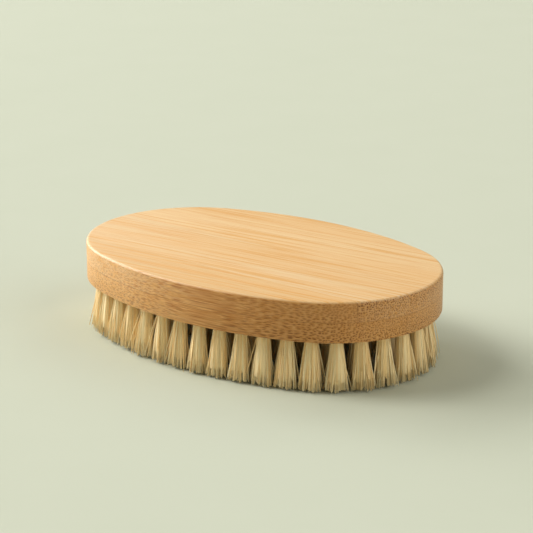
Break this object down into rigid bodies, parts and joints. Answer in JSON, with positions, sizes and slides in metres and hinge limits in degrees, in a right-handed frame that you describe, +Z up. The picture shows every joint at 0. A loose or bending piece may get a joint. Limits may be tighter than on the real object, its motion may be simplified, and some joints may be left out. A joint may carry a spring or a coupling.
{
  "type": "nail brush",
  "caption": "Flat-backed oval nail brush: a two-ply bamboo block glued up from strips, with splayed bristle tufts set in holes on the underside.",
  "frame": {"origin": "on the surface that the bristle tips stand on, under the middle of the block", "axes": "+X along the block and its grain, +Y across it, +Z up through the flat back"},
  "size_m": [0.106, 0.0688, 0.025],
  "materials": {
    "bamboo": "sanded and lightly oiled",
    "bristle": "matt fibre",
    "anchor_metal": "plain"
  },
  "bodies": {
    "root": {"lower_strip_1": "bamboo", "lower_strip_2": "bamboo", "lower_strip_3": "bamboo", "outer_tuft_01": "bristle", "outer_tuft_02": "bristle", "outer_tuft_03": "bristle", "outer_tuft_04": "bristle", "outer_tuft_05": "bristle", "outer_tuft_06": "bristle", "outer_tuft_07": "bristle", "outer_tuft_08": "bristle", "outer_tuft_09": "bristle", "outer_tuft_10": "bristle", "outer_tuft_11": "bristle", "outer_tuft_12": "bristle", "outer_tuft_13": "bristle", "outer_tuft_14": "bristle", "outer_tuft_15": "bristle", "outer_tuft_16": "bristle", "outer_tuft_17": "bristle", "outer_tuft_18": "bristle", "outer_tuft_19": "bristle", "outer_tuft_20": "bristle", "outer_tuft_21": "bristle", "outer_tuft_22": "bristle", "outer_tuft_23": "bristle", "outer_tuft_24": "bristle", "outer_tuft_25": "bristle", "outer_tuft_26": "bristle", "outer_tuft_27": "bristle", "outer_tuft_28": "bristle", "outer_tuft_29": "bristle", "outer_tuft_30": "bristle", "outer_tuft_31": "bristle", "outer_tuft_32": "bristle", "outer_tuft_33": "bristle", "outer_tuft_34": "bristle", "outer_tuft_35": "bristle", "outer_tuft_36": "bristle", "outer_tuft_37": "bristle", "outer_tuft_38": "bristle", "outer_tuft_39": "bristle", "outer_tuft_40": "bristle", "tuft_anchors": "anchor_metal", "tuft_row_1": "bristle", "tuft_row_2": "bristle", "tuft_row_3": "bristle", "tuft_row_4": "bristle", "tuft_row_5": "bristle", "upper_strip_1": "bamboo", "upper_strip_2": "bamboo", "upper_strip_3": "bamboo"}
  },
  "joints": []
}
